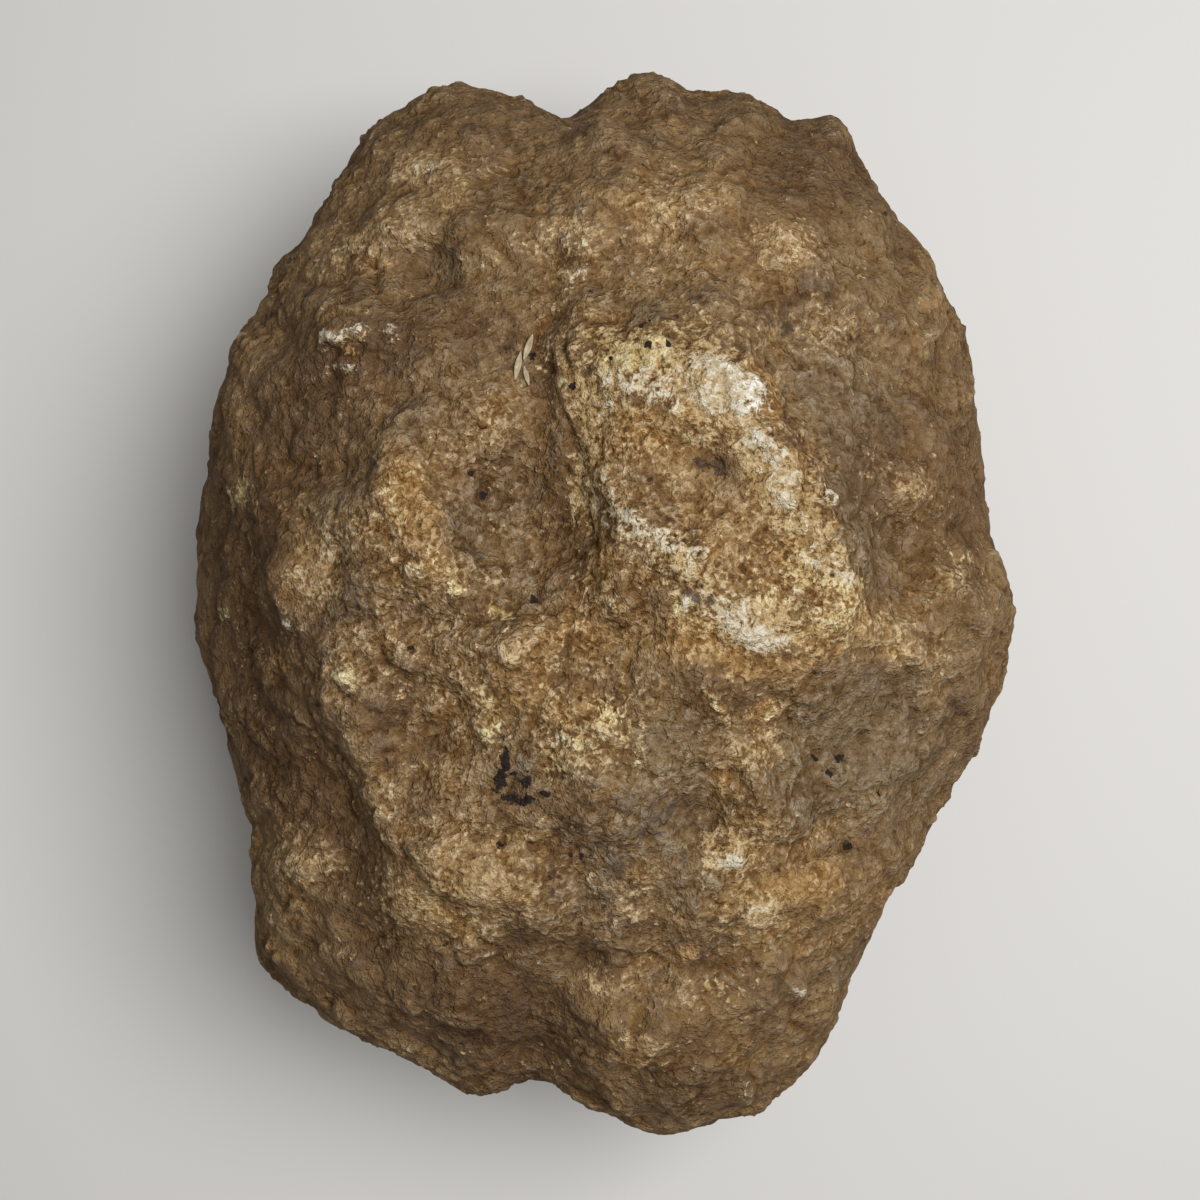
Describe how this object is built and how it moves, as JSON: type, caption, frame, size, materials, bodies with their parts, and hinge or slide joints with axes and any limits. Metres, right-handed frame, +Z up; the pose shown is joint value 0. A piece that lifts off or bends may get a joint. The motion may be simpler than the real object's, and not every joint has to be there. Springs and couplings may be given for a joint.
{
  "type": "geode",
  "caption": "Whole, uncut geode: a lumpy brown stone nodule with a raised crust of white and yellow mineral on its face, lying on a small flat spot.",
  "frame": {"origin": "middle of the stone's box in plan, on the surface that it lies on", "axes": "+Y along the stone's longest way, towards its notched end; +Z up, out of its face with the white crest"},
  "size_m": [0.1206, 0.1544, 0.0984],
  "materials": {
    "weathered_stone": "matt, rough tan-brown nodule skin, with ochre stains, grey patches and a crust of white and yellow mineral"
  },
  "bodies": {
    "root": {"geode": "weathered_stone"}
  },
  "joints": []
}
